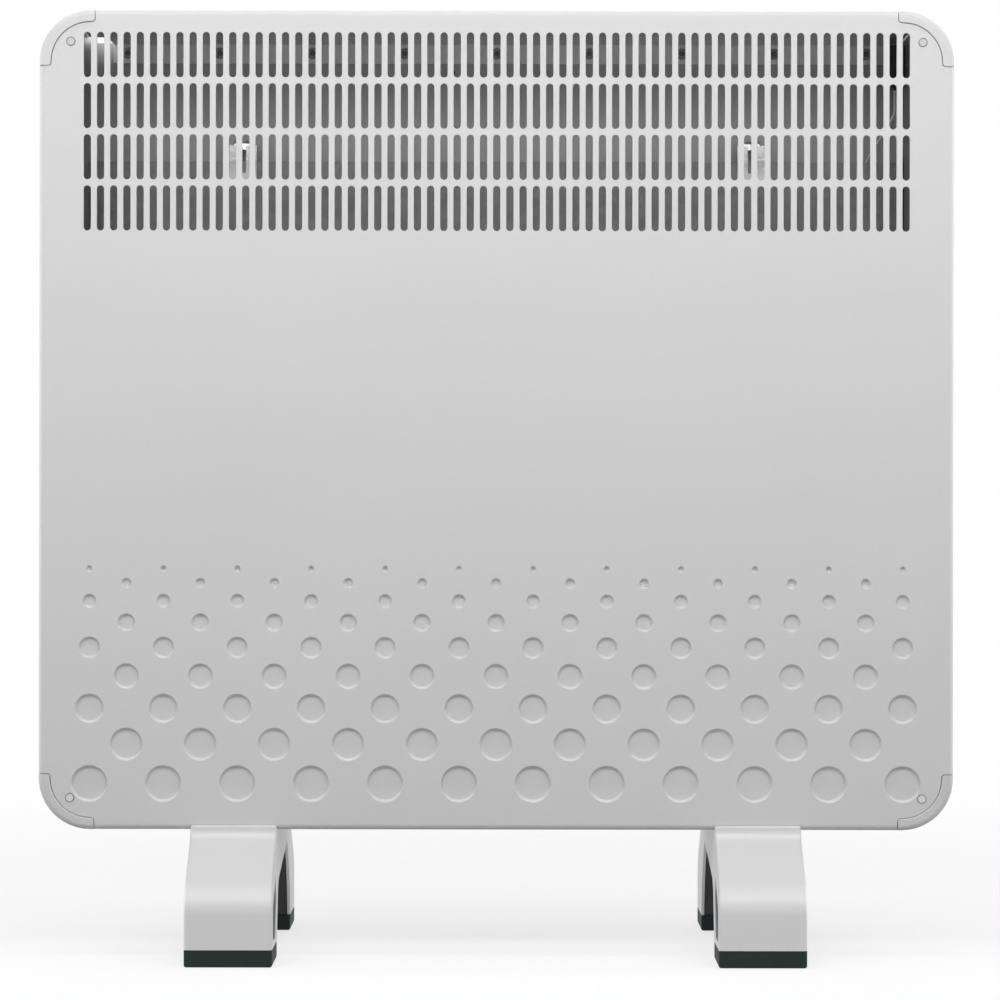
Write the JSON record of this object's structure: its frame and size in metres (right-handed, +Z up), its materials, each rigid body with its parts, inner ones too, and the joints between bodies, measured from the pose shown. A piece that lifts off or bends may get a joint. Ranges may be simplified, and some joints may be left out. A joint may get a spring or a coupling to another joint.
{
  "type": "panel convector heater",
  "caption": "Electric panel convector heater: slotted and dimpled steel front, rear case with finned element and thermostat, standing on arched feet or hung on a wall bracket.",
  "frame": {"origin": "on the floor under the middle of the feet", "axes": "+Z up; the grille and dimples face -Y; +X to the viewer's right"},
  "size_m": [0.46, 0.161, 0.476],
  "materials": {
    "panel_paint": "satin light grey lacquer",
    "cap_plastic": "satin grey moulding",
    "pin_steel": "satin",
    "case_paint": "satin light grey lacquer",
    "bright_steel": "bright zinc plate",
    "dark_steel": "black oxide",
    "zinc_sheet": "zinc coated sheet",
    "element_aluminium": "extruded, matt",
    "rod_steel": "heat darkened",
    "insulator_ceramic": "unglazed",
    "lead_white": "white silicone insulation",
    "dark_plastic": "satin black",
    "bezel_plastic": "fine grained dark grey",
    "knob_plastic": "satin",
    "rocker_plastic": "polished",
    "lens_red": "clear red",
    "terminal_plastic": "natural nylon",
    "case_plastic": "satin grey",
    "foot_silver": "satin silver lacquer",
    "core_plastic": "matt black",
    "pad_rubber": "dense dark rubber"
  },
  "bodies": {
    "heater": {"back_case": "case_paint", "cable_gland": "dark_plastic", "case_screws": "dark_steel", "control_bezel": "bezel_plastic", "control_guard": "zinc_sheet", "corner_caps": "cap_plastic", "corner_pins": "pin_steel", "element_bracket_left": "zinc_sheet", "element_bracket_right": "zinc_sheet", "element_insulators": "insulator_ceramic", "element_leads": "lead_white", "element_profile": "element_aluminium", "element_rod": "rod_steel", "foot_core_left": "core_plastic", "foot_core_right": "core_plastic", "foot_pad_front_left": "pad_rubber", "foot_pad_front_right": "pad_rubber", "foot_pad_rear_left": "pad_rubber", "foot_pad_rear_right": "pad_rubber", "foot_screws": "dark_steel", "foot_shell_left": "foot_silver", "foot_shell_right": "foot_silver", "front_panel": "panel_paint", "heat_shield": "zinc_sheet", "indicator_lens": "lens_red", "limiter_lead": "lead_white", "rear_rivets": "bright_steel", "shield_clip_left": "bright_steel", "shield_clip_right": "bright_steel", "switch_body_high": "dark_plastic", "switch_body_low": "dark_plastic", "terminal_block": "terminal_plastic", "thermal_cutout": "dark_plastic", "thermostat_body": "dark_plastic", "top_cover": "case_paint", "wall_catch_housing": "case_plastic", "wall_catch_screws": "dark_steel", "wall_catch_spring": "bright_steel"},
    "thermostat_knob": {"thermostat_knob": "knob_plastic", "thermostat_spindle": "bright_steel"},
    "rocker_high": {"rocker_high": "rocker_plastic"},
    "rocker_low": {"rocker_low": "rocker_plastic"},
    "wall_catch": {"wall_catch_slider": "dark_plastic"}
  },
  "joints": [
    {"name": "thermostat_turn", "type": "hinge", "parent": "heater", "child": "thermostat_knob", "pos_m": [0.222, 0.0035, 0.325], "axis": [1, 0, 0], "range_deg": [0, 270]},
    {"name": "rocker_high_tip", "type": "hinge", "parent": "heater", "child": "rocker_high", "pos_m": [0.2162, 0.0035, 0.287], "axis": [0, -1, 0], "range_deg": [0, 20]},
    {"name": "rocker_low_tip", "type": "hinge", "parent": "heater", "child": "rocker_low", "pos_m": [0.2162, 0.0035, 0.26], "axis": [0, -1, 0], "range_deg": [0, 20]},
    {"name": "wall_catch_slide", "type": "slide", "parent": "heater", "child": "wall_catch", "axis": [0, 0, 1], "range_m": [-0.0045, 0], "stiffness_N_per_m": 300, "springref_m": 0.005, "deforming": ["wall_catch_spring"]}
  ]
}
